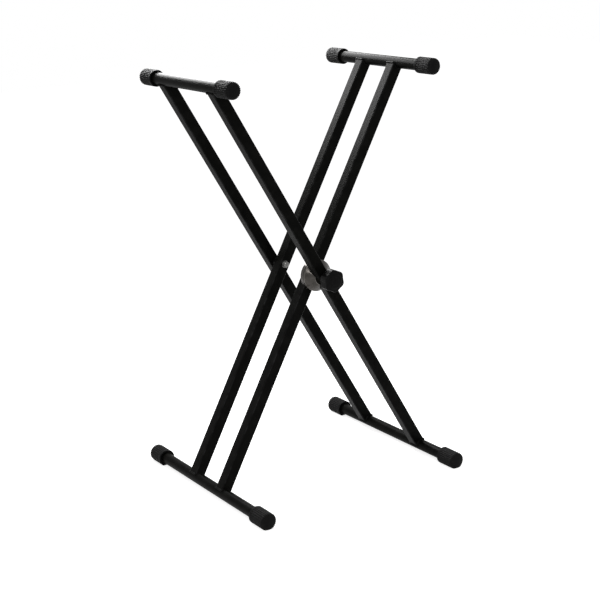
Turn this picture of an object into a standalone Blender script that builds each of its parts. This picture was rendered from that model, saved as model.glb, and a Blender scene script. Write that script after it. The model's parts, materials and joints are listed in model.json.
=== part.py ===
"""Folding keyboard stand with double-braced legs, in metres, +Z up.

The origin is on the floor, straight below the fold axis, which runs along Y. The
top of the outer frame leans towards -X and the top of the inner frame towards +X.
The clamping knob is on the near side, towards -Y.
"""

import math

import bmesh
import bpy
from mathutils import Matrix, Vector

# Stance and frame sizes
REST_ANGLE = math.radians(59.0)  # between the two frames as the stand is set up
UPPER_LENGTH = 0.4907  # along a leg, fold axis to the axis of a top bar
LOWER_LENGTH = 0.5083  # along a leg, fold axis to the axis of a foot bar
LEG_OFFSET = 0.0013  # from the fold axis across to a frame's middle plane, on its lower side
OUTER_SPACING = 0.198  # between the centre lines of the two outer legs
INNER_SPACING = 0.112  # between the centre lines of the two inner legs
INNER_SHIFT = 0.005  # inner legs' middle, off the outer legs' middle to the far side
INNER_BAR_SHIFT = 0.003  # inner bars' middle, off the outer bars' middle to the far side

# Lengths of the bars over their caps
OUTER_TOP_SPAN = 0.361
OUTER_FOOT_SPAN = 0.4825
INNER_TOP_SPAN = 0.378
INNER_FOOT_SPAN = 0.487

# Tubes
LEG_WIDTH = 0.025
LEG_WALL = 0.0015
LEG_CORNER = 0.0025
MOUTH_DEPTH = 0.006  # a leg's ears stop this far short of the bar's axis
BAR_RADIUS = 0.0125
BAR_WALL = 0.0015

# Clearance that pieces keep where they meet
GAP = 0.0003

# End caps
CAP_LENGTH = 0.052
CAP_END = 0.004
CAP_ROUND = 0.006
CAP_CROWN = 0.0012
CAP_BAND = 0.006
CAP_LIP = 0.0008
CAP_RIBS = 16
RIB_COLUMNS = 3  # points round the cap for each rib: two on its land, one in its groove
RIB_DEPTH = 0.0009
TOP_CAP_RADIUS = 0.0175
FOOT_CAP_RADIUS = 0.019
SOLE_DROP = 0.016  # from a foot bar's axis down to the flat sole

# Clutch between the near legs
CLUTCH_RADIUS = 0.0345
CLUTCH_TEETH = 36
TOOTH_DEPTH = 0.002
TOOTH_LAND = 0.12  # share of the pitch that stays flat at each crest
TOOTH_CLEAR = 0.0004  # between the crests of the two halves when the clutch is slack
TOOTH_RING = 0.0125  # width of the toothed ring
RING_STEP = 0.0028  # how far the ring stands above the plain middle
SADDLE_DEPTH = 0.0100  # how far a half reaches along the sides of its leg
EAR_RADIUS = 0.0175  # at a half's back, where its cone ends
OUTER_RIM = 0.0042  # straight part of the rim, from the tooth crests to the cone
INNER_RIM = 0.0100
POCKET_RADIUS = 0.0092
POCKET_DEPTH = 0.005

# Release spring
SPRING_WIRE = 0.0006  # radius of the wire
SPRING_RADIUS = 0.0072
SPRING_TURNS = 4.5
SPRING_POINTS = 12  # in each turn

# Bolts, nuts and washers
BOLT_RADIUS = 0.004
DOME_HEAD_RADIUS = 0.0095
DOME_HEAD_HEIGHT = 0.0045
HEX_ACROSS_FLATS = 0.013
HEX_HEAD_HEIGHT = 0.0053
NUT_HEIGHT = 0.0055
NUT_DOME = 0.0040
NUT_BORE_DEPTH = 0.0070
WASHER_THICKNESS = 0.0015
PIVOT_WASHER_RADIUS = 0.008
KNOB_WASHER_RADIUS = 0.012
SPACER_RADIUS = 0.009
BOLT_TIP = 0.0005  # chamfer at a bolt's end
NECK_WIDTH = 0.0082  # square neck that keeps the clutch bolt from turning
NECK_LENGTH = 0.004

# Knob
KNOB_DEPTH = 0.0315
KNOB_HUB_RADIUS = 0.0175
KNOB_CORNER_RADIUS = 0.0248
KNOB_FLAT_RADIUS = 0.0222
KNOB_LOBES = 6
KNOB_PHASE = math.radians(6.5)
KNOB_GRIP_START = 0.0085
KNOB_GRIP_DEPTH = 0.0215
KNOB_ROUND = 0.003
KNOB_NOSE_RADIUS = 0.0165
KNOB_BORE_DEPTH = 0.026
KNOB_BOLT_REACH = 0.022  # how far the bolt's end stands inside the knob
INSERT_RADIUS = 0.007
INSERT_LENGTH = 0.012

# Facets
BAR_STEPS = 32
BOLT_STEPS = 20
KNOB_STEPS = 36
CAP_STEPS = RIB_COLUMNS * CAP_RIBS
CORNER_STEPS = 3
OVERCUT = 0.001  # how far a cutter runs past what it cuts

# Places that follow from the sizes above
LEG_RISE = LOWER_LENGTH * math.cos(REST_ANGLE / 2) + LEG_OFFSET * math.sin(REST_ANGLE / 2)
PIVOT_HEIGHT = LEG_RISE + SOLE_DROP
OUTER_LEAN = -REST_ANGLE / 2
INNER_LEAN = REST_ANGLE / 2
OUTER_NEAR_Y = -OUTER_SPACING / 2
OUTER_FAR_Y = OUTER_SPACING / 2
INNER_NEAR_Y = INNER_SHIFT - INNER_SPACING / 2
INNER_FAR_Y = INNER_SHIFT + INNER_SPACING / 2
NEAR_GAP = INNER_NEAR_Y - OUTER_NEAR_Y - LEG_WIDTH
FAR_GAP = OUTER_FAR_Y - INNER_FAR_Y - LEG_WIDTH
CLUTCH_THICKNESS = (NEAR_GAP - 2 * GAP - TOOTH_CLEAR) / 2
TOOTH_PITCH = 2 * math.pi / CLUTCH_TEETH
BOLT_HOLE = BOLT_RADIUS + GAP
HEX_CORNER = HEX_ACROSS_FLATS / 2 / math.cos(math.pi / 6)
KNOB_WASHER_Y = OUTER_NEAR_Y - LEG_WIDTH / 2 - GAP
KNOB_BASE_Y = KNOB_WASHER_Y - WASHER_THICKNESS - GAP
BOLT_HEAD_Y = INNER_NEAR_Y + LEG_WIDTH / 2 + GAP
CLUTCH_BOLT_LENGTH = BOLT_HEAD_Y - KNOB_BASE_Y + KNOB_BOLT_REACH
PIVOT_HEAD_Y = OUTER_FAR_Y + LEG_WIDTH / 2 + GAP
PIVOT_WASHER_Y = INNER_FAR_Y - LEG_WIDTH / 2 - GAP
PIVOT_NUT_Y = PIVOT_WASHER_Y - WASHER_THICKNESS - GAP
PIVOT_BOLT_LENGTH = PIVOT_HEAD_Y - PIVOT_NUT_Y + NUT_BORE_DEPTH - 2 * GAP

# A turned piece's own +Z laid along -Y or along +Y, with its own +Y upwards
TO_NEAR = (math.pi / 2, 0.0, 0.0)
TO_FAR = (math.pi / 2, 0.0, math.pi)


def clear_scene():
    for old in list(bpy.data.objects):
        bpy.data.objects.remove(old, do_unlink=True)


def make_collection(name):
    collection = bpy.data.collections.new(name)
    bpy.context.scene.collection.children.link(collection)
    return collection


def make_material(name, colour, roughness, metallic):
    material = bpy.data.materials.new(name)
    material.use_nodes = True
    shader = material.node_tree.nodes["Principled BSDF"]
    shader.inputs["Base Color"].default_value = (*colour, 1.0)
    shader.inputs["Roughness"].default_value = roughness
    shader.inputs["Metallic"].default_value = metallic
    material.diffuse_color = (*colour, 1.0)
    return material


clear_scene()
PARTS = make_collection("keyboard_stand")
CUTTERS = make_collection("cutters")

BLACK_COAT = make_material("black_powder_coat", (0.022, 0.022, 0.024), 0.42, 0.0)
CAP_RUBBER = make_material("black_cap_rubber", (0.030, 0.030, 0.031), 0.75, 0.0)
CAST_ZINC = make_material("cast_zinc", (0.30, 0.28, 0.26), 0.48, 0.9)
KNOB_PLASTIC = make_material("black_knob_plastic", (0.024, 0.024, 0.025), 0.5, 0.0)
PLATED_STEEL = make_material("zinc_plated_steel", (0.55, 0.55, 0.54), 0.3, 1.0)
SPRING_STEEL = make_material("spring_steel", (0.38, 0.38, 0.39), 0.35, 1.0)
INSERT_BRASS = make_material("brass", (0.62, 0.45, 0.18), 0.35, 1.0)


def add_empty(name, location, rotation=(0.0, 0.0, 0.0)):
    empty = bpy.data.objects.new(name, None)
    empty.location = location
    empty.rotation_euler = rotation
    PARTS.objects.link(empty)
    return empty


def add_object(name, mesh, collection, parent, location, rotation):
    piece = bpy.data.objects.new(name, mesh)
    piece.parent = parent
    piece.location = location
    piece.rotation_euler = rotation
    collection.objects.link(piece)
    return piece


def add_part(name, mesh, material, parent, location=(0, 0, 0), rotation=(0, 0, 0)):
    mesh.materials.clear()
    mesh.materials.append(material)
    return add_object(name, mesh, PARTS, parent, location, rotation)


def add_cutter(name, mesh, parent, location=(0, 0, 0), rotation=(0, 0, 0)):
    cutter = add_object(name, mesh, CUTTERS, parent, location, rotation)
    cutter.hide_render = True
    cutter.display_type = "WIRE"
    return cutter


def combine(piece, other, operation):
    boolean = piece.modifiers.new(other.name, "BOOLEAN")
    boolean.operation = operation
    boolean.solver = "EXACT"
    boolean.object = other


def mesh_from(name, shape):
    mesh = bpy.data.meshes.new(name)
    bmesh.ops.recalc_face_normals(shape, faces=shape.faces)
    shape.to_mesh(mesh)
    shape.free()
    return mesh


def smooth(mesh, degrees=35.0):
    mesh.shade_smooth()
    mesh.set_sharp_from_angle(angle=math.radians(degrees))
    return mesh


def turned_shape(profile, steps, phase=0.0, closed=False):
    """Profile points (radius, height) carried round Z. An open one ends on the axis."""
    shape = bmesh.new()
    turn = Matrix.Rotation(phase, 3, "Z")
    points = [shape.verts.new(turn @ Vector((r, 0.0, z))) for r, z in profile]
    edges = [shape.edges.new(pair) for pair in zip(points, points[1:])]
    if closed:
        edges.append(shape.edges.new((points[-1], points[0])))
    bmesh.ops.spin(
        shape,
        geom=points + edges,
        cent=(0, 0, 0),
        axis=(0, 0, 1),
        angle=2 * math.pi,
        steps=steps,
        use_merge=True,
    )
    bmesh.ops.remove_doubles(shape, verts=shape.verts, dist=1e-6)
    return shape


def turned_mesh(name, profile, steps, phase=0.0, closed=False):
    return smooth(mesh_from(name, turned_shape(profile, steps, phase, closed)))


def ring_mesh(name, outer, inner, low, high, steps, phase=0.0):
    profile = [(outer, high), (outer, low), (inner, low), (inner, high)]
    return turned_mesh(name, profile, steps, phase, closed=True)


def rod_mesh(name, radius, low, high, steps, phase=0.0):
    profile = [(0.0, high), (radius, high), (radius, low), (0.0, low)]
    return turned_mesh(name, profile, steps, phase)


def add_box(shape, low, high):
    low = Vector(low)
    high = Vector(high)
    size = high - low
    place = Matrix.Translation((low + high) / 2) @ Matrix.Diagonal((*size, 1.0))
    bmesh.ops.create_cube(shape, size=1.0, matrix=place)


def rounded_square(width, corner):
    """Points round a square with quarter-circle corners."""
    half = width / 2 - corner
    points = []
    for quarter, (x, y) in enumerate([(half, half), (-half, half), (-half, -half), (half, -half)]):
        for step in range(CORNER_STEPS + 1):
            angle = (quarter + step / CORNER_STEPS) * math.pi / 2
            points.append((x + corner * math.cos(angle), y + corner * math.sin(angle)))
    return points


def outline_curve(name, outlines, half_depth, bevel=0.0):
    """A flat outline, with holes where one lies inside another, given a thickness."""
    curve = bpy.data.curves.new(name, "CURVE")
    curve.dimensions = "2D"
    curve.fill_mode = "BOTH"
    curve.extrude = half_depth
    curve.bevel_depth = bevel
    curve.bevel_resolution = 2
    for outline in outlines:
        spline = curve.splines.new("POLY")
        spline.points.add(len(outline) - 1)
        for point, (x, y) in zip(spline.points, outline):
            point.co = (x, y, 0.0, 1.0)
        spline.use_cyclic_u = True
    return curve


def curve_to_mesh(name, curve, offset=(0.0, 0.0, 0.0)):
    """The curve as a mesh with its loose caps welded on."""
    holder = bpy.data.objects.new(name + "_outline", curve)
    CUTTERS.objects.link(holder)
    graph = bpy.context.evaluated_depsgraph_get()
    mesh = bpy.data.meshes.new_from_object(holder.evaluated_get(graph))
    bpy.data.objects.remove(holder, do_unlink=True)
    shape = bmesh.new()
    shape.from_mesh(mesh)
    bpy.data.meshes.remove(mesh)
    bmesh.ops.remove_doubles(shape, verts=shape.verts, dist=1e-6)
    bmesh.ops.translate(shape, verts=shape.verts, vec=Vector(offset))
    return mesh_from(name, shape)


def leg_mesh(name):
    """A square tube along Z, from near one bar's axis to near the other's."""
    low = MOUTH_DEPTH - LOWER_LENGTH
    high = UPPER_LENGTH - MOUTH_DEPTH
    outer = rounded_square(LEG_WIDTH, LEG_CORNER)
    inner = rounded_square(LEG_WIDTH - 2 * LEG_WALL, LEG_CORNER - LEG_WALL)
    curve = outline_curve(name, [outer, inner], (high - low) / 2)
    return smooth(curve_to_mesh(name, curve, (0.0, 0.0, (high + low) / 2)))


def cap_profile(radius):
    """From the crown on the axis, down the outside, and up the bore to the end wall."""
    bore = BAR_RADIUS + GAP
    shoulder = CAP_LENGTH - CAP_CROWN - CAP_ROUND
    slant = math.sqrt(0.5) * CAP_ROUND
    return [
        (0.0, CAP_LENGTH),
        (radius - CAP_ROUND, CAP_LENGTH - CAP_CROWN),
        (radius - CAP_ROUND + slant, shoulder + slant),
        (radius, shoulder),
        (radius, CAP_BAND),
        (radius, CAP_LIP),
        (radius - CAP_LIP, 0.0),
        (bore, 0.0),
        (bore, CAP_LENGTH - CAP_END),
        (0.0, CAP_LENGTH - CAP_END),
    ]


def cap_mesh(name, radius):
    """A cup with lengthwise ribs, which has the middle of a rib's flat land at the top."""
    facet = math.pi / CAP_STEPS
    shape = turned_shape(cap_profile(radius), CAP_STEPS, facet)
    shoulder = CAP_LENGTH - CAP_CROWN - CAP_ROUND
    for vert in shape.verts:
        height = vert.co.z
        flat = Vector((vert.co.x, vert.co.y, 0.0))
        ribbed = CAP_BAND - CAP_LIP / 2 < height < shoulder + CAP_LIP / 2
        if not ribbed or flat.length < radius - CAP_LIP:
            continue
        column = round((math.atan2(flat.x, flat.y) - facet) / (2 * facet))
        if column % RIB_COLUMNS == 1:
            vert.co -= flat.normalized() * RIB_DEPTH
    return smooth(mesh_from(name, shape), 20.0)


def add_cap(name, frame, lean, radius, bar_place, span, side):
    """A cap on a bar's end, set upright however its frame leans. side is -1 near, 1 far."""
    mouth = Vector(bar_place) + Vector((0.0, side * (span / 2 - CAP_LENGTH), 0.0))
    if side < 0:
        rotation = (TO_NEAR[0], -lean, TO_NEAR[2])
    else:
        rotation = (TO_FAR[0], lean, TO_FAR[2])
    mesh = cap_mesh(name, radius)
    return add_part(name, mesh, CAP_RUBBER, frame, mouth, rotation)


def cut_sole(cap):
    shape = bmesh.new()
    reach = FOOT_CAP_RADIUS + OVERCUT
    add_box(shape, (-reach, -reach, -OVERCUT), (reach, -SOLE_DROP, CAP_LENGTH + OVERCUT))
    mesh = mesh_from(cap.name + "_sole_cutter", shape)
    cutter = add_cutter(mesh.name, mesh, cap.parent, cap.location, cap.rotation_euler)
    combine(cap, cutter, "DIFFERENCE")


def add_bar(name, frame, place, span):
    half = span / 2 - CAP_END - GAP
    mesh = ring_mesh(name, BAR_RADIUS, BAR_RADIUS - BAR_WALL, -half, half, BAR_STEPS)
    return add_part(name, mesh, BLACK_COAT, frame, place, TO_NEAR)


def add_leg(name, frame, place, cutters):
    leg = add_part(name, leg_mesh(name), BLACK_COAT, frame, place)
    for cutter in cutters:
        combine(leg, cutter, "DIFFERENCE")
    return leg


def leg_cutters(label, frame, across):
    """What the two legs of a frame are cut by: both bars and the bolts' holes."""
    reach = OUTER_SPACING / 2 + LEG_WIDTH
    cutters = []
    for end, height in (("top", UPPER_LENGTH), ("foot", -LOWER_LENGTH)):
        name = f"{label}_{end}_mouth_cutter"
        mesh = rod_mesh(name, BAR_RADIUS + GAP, -reach, reach, BAR_STEPS)
        cutters.append(add_cutter(name, mesh, frame, (across, 0.0, height), TO_NEAR))
    name = f"{label}_bolt_hole_cutter"
    mesh = rod_mesh(name, BOLT_HOLE, -reach, reach, BOLT_STEPS)
    cutters.append(add_cutter(name, mesh, frame, (0.0, 0.0, 0.0), TO_NEAR))
    return cutters


def neck_mesh(name, clearance):
    half = NECK_WIDTH / 2 + clearance
    shape = bmesh.new()
    add_box(shape, (-half, -half, -OVERCUT), (half, half, NECK_LENGTH + clearance))
    return mesh_from(name, shape)


def leg_across(lean):
    """Where a frame's middle plane stands in its own X, measured from the fold axis."""
    return math.copysign(LEG_OFFSET, lean)


def build_frame(label, frame, lean, leg_places, shift, top_span, foot_span):
    across = leg_across(lean)
    cutters = leg_cutters(label, frame, across)
    for side, y in leg_places:
        add_leg(f"{label}_leg_{side}", frame, (across, y, 0.0), cutters)
    top = (across, shift, UPPER_LENGTH)
    foot = (across, shift, -LOWER_LENGTH)
    add_bar(f"{label}_top_bar", frame, top, top_span)
    add_bar(f"{label}_foot_bar", frame, foot, foot_span)
    for side, sign in (("near", -1), ("far", 1)):
        add_cap(f"{label}_top_cap_{side}", frame, lean, TOP_CAP_RADIUS, top, top_span, sign)
        name = f"{label}_foot_cap_{side}"
        cut_sole(add_cap(name, frame, lean, FOOT_CAP_RADIUS, foot, foot_span, sign))


def clutch_profile(rim):
    """A half's turned blank, from its toothed face down its rim and cone to its back."""
    top = CLUTCH_THICKNESS
    middle = top - RING_STEP
    ring_inner = CLUTCH_RADIUS - TOOTH_RING
    return [
        (ring_inner, top),
        (CLUTCH_RADIUS, top),
        (CLUTCH_RADIUS, top - rim),
        (EAR_RADIUS, -SADDLE_DEPTH),
        (BOLT_HOLE, -SADDLE_DEPTH),
        (BOLT_HOLE, middle - POCKET_DEPTH),
        (POCKET_RADIUS, middle - POCKET_DEPTH),
        (POCKET_RADIUS, middle),
        (ring_inner, middle),
    ]


def saddle_cutter_mesh(name):
    """The channel across a half's back that its leg lies in."""
    shape = bmesh.new()
    half = LEG_WIDTH / 2 + GAP
    reach = CLUTCH_RADIUS + OVERCUT
    add_box(shape, (-half, -reach, -SADDLE_DEPTH - OVERCUT), (half, reach, 0.0))
    return mesh_from(name, shape)


def tooth_cutter_mesh(name, phase):
    """Radial V grooves that widen and deepen outwards, as the teeth of a face clutch do."""
    shape = bmesh.new()
    top = CLUTCH_THICKNESS
    half_width = TOOTH_PITCH / 2 * (1 - TOOTH_LAND)
    for tooth in range(CLUTCH_TEETH):
        turn = Matrix.Rotation(phase + tooth * TOOTH_PITCH, 3, "Z")
        corners = []
        for radius in (CLUTCH_RADIUS - TOOTH_RING - OVERCUT, CLUTCH_RADIUS + OVERCUT):
            depth = TOOTH_DEPTH * radius / CLUTCH_RADIUS
            side = radius * math.tan(half_width)
            rise = depth * 0.25
            spread = side * (1 + rise / depth)
            for y, z in ((0.0, top - depth), (spread, top + rise), (-spread, top + rise)):
                corners.append(shape.verts.new(turn @ Vector((radius, y, z))))
        bmesh.ops.convex_hull(shape, input=corners)
    return mesh_from(name, shape)


def add_clutch_half(name, frame, lean, face_y, rotation, phase, rim):
    crest = phase + TOOTH_PITCH / 2
    mesh = turned_mesh(name, clutch_profile(rim), CLUTCH_TEETH, crest, closed=True)
    half = add_part(name, mesh, CAST_ZINC, frame, (0.0, face_y, 0.0), rotation)
    for across, cutter_mesh in (
        (leg_across(lean), saddle_cutter_mesh(name + "_saddle_cutter")),
        (0.0, tooth_cutter_mesh(name + "_tooth_cutter", phase)),
    ):
        place = (across, face_y, 0.0)
        cutter = add_cutter(cutter_mesh.name, cutter_mesh, frame, place, rotation)
        combine(half, cutter, "DIFFERENCE")
    return half


def build_clutch(outer_frame, inner_frame):
    """Two toothed halves, the bolt that draws them together and the spring that parts them."""
    inner_face = INNER_NEAR_Y - LEG_WIDTH / 2 - GAP
    outer_face = OUTER_NEAR_Y + LEG_WIDTH / 2 + GAP
    across = REST_ANGLE - TOOTH_PITCH / 2  # sets one half's crests over the other's grooves
    for name, frame, lean, face_y, rotation, phase, rim in (
        ("clutch_inner_half", inner_frame, INNER_LEAN, inner_face, TO_NEAR, 0.0, INNER_RIM),
        ("clutch_outer_half", outer_frame, OUTER_LEAN, outer_face, TO_FAR, across, OUTER_RIM),
    ):
        add_clutch_half(name, frame, lean, face_y, rotation, phase, rim)
    bolt = [
        (0.0, CLUTCH_BOLT_LENGTH),
        (BOLT_RADIUS - BOLT_TIP, CLUTCH_BOLT_LENGTH),
        (BOLT_RADIUS, CLUTCH_BOLT_LENGTH - BOLT_TIP),
        (BOLT_RADIUS, 0.0),
        (DOME_HEAD_RADIUS, 0.0),
        (DOME_HEAD_RADIUS, -DOME_HEAD_HEIGHT * 0.3),
        (DOME_HEAD_RADIUS * 0.75, -DOME_HEAD_HEIGHT * 0.8),
        (0.0, -DOME_HEAD_HEIGHT),
    ]
    place = (0.0, BOLT_HEAD_Y, 0.0)
    mesh = turned_mesh("clutch_bolt", bolt, BOLT_STEPS)
    bolt = add_part("clutch_bolt", mesh, PLATED_STEEL, inner_frame, place, TO_NEAR)
    neck = neck_mesh("clutch_bolt_neck", 0.0)
    combine(bolt, add_cutter(neck.name, neck, inner_frame, place, TO_NEAR), "UNION")
    neck = neck_mesh("neck_hole_cutter", GAP)
    cutter = add_cutter(neck.name, neck, inner_frame, place, TO_NEAR)
    combine(bpy.data.objects["inner_leg_near"], cutter, "DIFFERENCE")
    build_spring(inner_frame, inner_face)


def build_spring(frame, face_y):
    """An open coil round the bolt, from one half's pocket to the other's."""
    floor = CLUTCH_THICKNESS - RING_STEP - POCKET_DEPTH
    low = floor + GAP + SPRING_WIRE
    high = 2 * CLUTCH_THICKNESS + TOOTH_CLEAR - low
    curve = bpy.data.curves.new("clutch_spring", "CURVE")
    curve.dimensions = "3D"
    curve.bevel_depth = SPRING_WIRE
    curve.bevel_resolution = 1
    curve.use_fill_caps = True
    spline = curve.splines.new("POLY")
    count = round(SPRING_TURNS * SPRING_POINTS)
    spline.points.add(count)
    for step, point in enumerate(spline.points):
        angle = step * 2 * math.pi / SPRING_POINTS
        height = low + (high - low) * step / count
        x = SPRING_RADIUS * math.cos(angle)
        y = SPRING_RADIUS * math.sin(angle)
        point.co = (x, y, height, 1.0)
    curve.materials.append(SPRING_STEEL)
    add_object("clutch_spring", curve, PARTS, frame, (0.0, face_y, 0.0), TO_NEAR)


def knob_outline():
    """A soft hexagon: full radius at its corners, drawn in at its flats."""
    inset = KNOB_ROUND
    middle = (KNOB_CORNER_RADIUS + KNOB_FLAT_RADIUS) / 2 - inset
    swing = (KNOB_CORNER_RADIUS - KNOB_FLAT_RADIUS) / 2
    points = []
    for step in range(KNOB_STEPS):
        angle = 2 * math.pi * step / KNOB_STEPS
        radius = middle + swing * math.cos(KNOB_LOBES * angle)
        angle += KNOB_PHASE
        points.append((radius * math.cos(angle), radius * math.sin(angle)))
    return points


def build_knob(frame):
    """The grip, its hub and nose, the threaded insert and the washer under it."""
    grip_half = KNOB_GRIP_DEPTH / 2
    grip_middle = KNOB_GRIP_START + grip_half
    grip = outline_curve("knob", [knob_outline()], grip_half - KNOB_ROUND, KNOB_ROUND)
    mesh = smooth(curve_to_mesh("knob", grip, (0.0, 0.0, grip_middle)))
    knob = add_part("knob", mesh, KNOB_PLASTIC, frame, (0.0, KNOB_BASE_Y, 0.0), TO_NEAR)
    grip_end = KNOB_GRIP_START + KNOB_GRIP_DEPTH
    core = [
        (0.0, KNOB_DEPTH),
        (KNOB_NOSE_RADIUS - KNOB_ROUND, KNOB_DEPTH),
        (KNOB_NOSE_RADIUS, KNOB_DEPTH - KNOB_ROUND / 2),
        (KNOB_FLAT_RADIUS - KNOB_ROUND, grip_end - OVERCUT),
        (KNOB_HUB_RADIUS, grip_middle),
        (KNOB_HUB_RADIUS, KNOB_ROUND / 2),
        (KNOB_HUB_RADIUS - KNOB_ROUND / 2, 0.0),
        (0.0, 0.0),
    ]
    core_mesh = turned_mesh("knob_core", core, KNOB_STEPS, KNOB_PHASE)
    combine(knob, add_cutter("knob_core", core_mesh, frame, knob.location, TO_NEAR), "UNION")
    pocket = [
        (0.0, KNOB_BORE_DEPTH),
        (BOLT_HOLE, KNOB_BORE_DEPTH),
        (BOLT_HOLE, INSERT_LENGTH + GAP),
        (INSERT_RADIUS + GAP, INSERT_LENGTH + GAP),
        (INSERT_RADIUS + GAP, -OVERCUT),
        (0.0, -OVERCUT),
    ]
    pocket_mesh = turned_mesh("knob_bore_cutter", pocket, BOLT_STEPS)
    cutter = add_cutter("knob_bore_cutter", pocket_mesh, frame, knob.location, TO_NEAR)
    combine(knob, cutter, "DIFFERENCE")
    insert = ring_mesh("knob_insert", INSERT_RADIUS, BOLT_HOLE, 0.0, INSERT_LENGTH, BOLT_STEPS)
    add_part("knob_insert", insert, INSERT_BRASS, frame, knob.location, TO_NEAR)
    washer = ring_mesh(
        "knob_washer", KNOB_WASHER_RADIUS, BOLT_HOLE, 0.0, WASHER_THICKNESS, BOLT_STEPS
    )
    place = (0.0, KNOB_WASHER_Y, 0.0)
    add_part("knob_washer", washer, PLATED_STEEL, frame, place, TO_NEAR)


def build_pivot(outer_frame):
    """The far legs' bolt, spacer, washer and domed nut. They stay with the outer frame."""
    place = (0.0, PIVOT_HEAD_Y, 0.0)
    shaft = [
        (0.0, PIVOT_BOLT_LENGTH),
        (BOLT_RADIUS - BOLT_TIP, PIVOT_BOLT_LENGTH),
        (BOLT_RADIUS, PIVOT_BOLT_LENGTH - BOLT_TIP),
        (BOLT_RADIUS, -HEX_HEAD_HEIGHT / 2),
        (0.0, -HEX_HEAD_HEIGHT / 2),
    ]
    mesh = turned_mesh("pivot_bolt", shaft, BOLT_STEPS)
    bolt = add_part("pivot_bolt", mesh, PLATED_STEEL, outer_frame, place, TO_NEAR)
    head = rod_mesh("pivot_bolt_head", HEX_CORNER, -HEX_HEAD_HEIGHT, 0.0, 6)
    combine(bolt, add_cutter("pivot_bolt_head", head, outer_frame, place, TO_NEAR), "UNION")

    length = FAR_GAP - 2 * GAP
    mesh = ring_mesh("pivot_spacer", SPACER_RADIUS, BOLT_HOLE, 0.0, length, BOLT_STEPS)
    place = (0.0, OUTER_FAR_Y - LEG_WIDTH / 2 - GAP, 0.0)
    add_part("pivot_spacer", mesh, KNOB_PLASTIC, outer_frame, place, TO_NEAR)

    mesh = ring_mesh(
        "pivot_washer", PIVOT_WASHER_RADIUS, BOLT_HOLE, 0.0, WASHER_THICKNESS, BOLT_STEPS
    )
    place = (0.0, PIVOT_WASHER_Y, 0.0)
    add_part("pivot_washer", mesh, PLATED_STEEL, outer_frame, place, TO_NEAR)

    place = (0.0, PIVOT_NUT_Y, 0.0)
    mesh = rod_mesh("pivot_nut", HEX_CORNER, 0.0, NUT_HEIGHT, 6, math.pi / 6)
    nut = add_part("pivot_nut", mesh, PLATED_STEEL, outer_frame, place, TO_NEAR)
    dome_radius = HEX_ACROSS_FLATS / 2 - GAP
    dome = [(0.0, NUT_HEIGHT + NUT_DOME)]
    for step in range(1, 4):
        angle = step * math.pi / 6
        height = NUT_HEIGHT + NUT_DOME * math.cos(angle)
        dome.append((dome_radius * math.sin(angle), height))
    dome.append((dome_radius, NUT_HEIGHT / 2))
    dome.append((0.0, NUT_HEIGHT / 2))
    mesh = turned_mesh("pivot_nut_dome", dome, BOLT_STEPS)
    combine(nut, add_cutter("pivot_nut_dome", mesh, outer_frame, place, TO_NEAR), "UNION")
    mesh = rod_mesh("pivot_nut_bore_cutter", BOLT_HOLE, -OVERCUT, NUT_BORE_DEPTH, BOLT_STEPS)
    cutter = add_cutter("pivot_nut_bore_cutter", mesh, outer_frame, place, TO_NEAR)
    combine(nut, cutter, "DIFFERENCE")


outer = add_empty("outer_frame", (0.0, 0.0, PIVOT_HEIGHT), (0.0, OUTER_LEAN, 0.0))
inner = add_empty("inner_frame", (0.0, 0.0, PIVOT_HEIGHT), (0.0, INNER_LEAN, 0.0))
outer_legs = (("near", OUTER_NEAR_Y), ("far", OUTER_FAR_Y))
inner_legs = (("near", INNER_NEAR_Y), ("far", INNER_FAR_Y))
build_frame("outer", outer, OUTER_LEAN, outer_legs, 0.0, OUTER_TOP_SPAN, OUTER_FOOT_SPAN)
build_frame(
    "inner", inner, INNER_LEAN, inner_legs, INNER_BAR_SHIFT, INNER_TOP_SPAN, INNER_FOOT_SPAN
)
build_clutch(outer, inner)
build_knob(outer)
build_pivot(outer)
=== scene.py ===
import json
import math

import bpy
import numpy as np
from mathutils import Matrix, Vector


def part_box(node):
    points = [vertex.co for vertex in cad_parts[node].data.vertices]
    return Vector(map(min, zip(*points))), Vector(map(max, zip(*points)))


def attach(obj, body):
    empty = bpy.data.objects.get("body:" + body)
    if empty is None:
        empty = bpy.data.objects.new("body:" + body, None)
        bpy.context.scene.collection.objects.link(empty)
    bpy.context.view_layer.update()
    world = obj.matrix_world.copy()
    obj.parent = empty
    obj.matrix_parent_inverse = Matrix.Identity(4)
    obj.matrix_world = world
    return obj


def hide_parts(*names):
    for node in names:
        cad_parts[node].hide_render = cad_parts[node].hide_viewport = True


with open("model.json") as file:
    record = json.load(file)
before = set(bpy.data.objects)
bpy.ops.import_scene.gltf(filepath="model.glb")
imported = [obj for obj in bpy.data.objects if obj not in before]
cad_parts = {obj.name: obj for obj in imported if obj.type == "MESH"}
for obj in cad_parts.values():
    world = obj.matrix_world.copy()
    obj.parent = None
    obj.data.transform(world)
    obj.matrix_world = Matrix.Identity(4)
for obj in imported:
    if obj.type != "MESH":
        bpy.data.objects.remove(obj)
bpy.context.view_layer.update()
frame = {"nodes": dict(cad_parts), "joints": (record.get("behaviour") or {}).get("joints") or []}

# The whole stand is black tube, so light does the drawing: satin faces, ribbed caps, bare zinc
scene = bpy.context.scene
scene.view_settings.view_transform = "Standard"
mm = 0.001
turn = 2 * math.pi


# Camera

photoView = {
    "place": (-1.5687, -2.3906, 1.2178),
    "yaw": 0.58204,  # from +Y towards +X
    "pitch": 0.28280,  # below the horizon
    "roll": -0.04122,
    "lens": 81.394,
    "sensor": 36.0,
}


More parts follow.
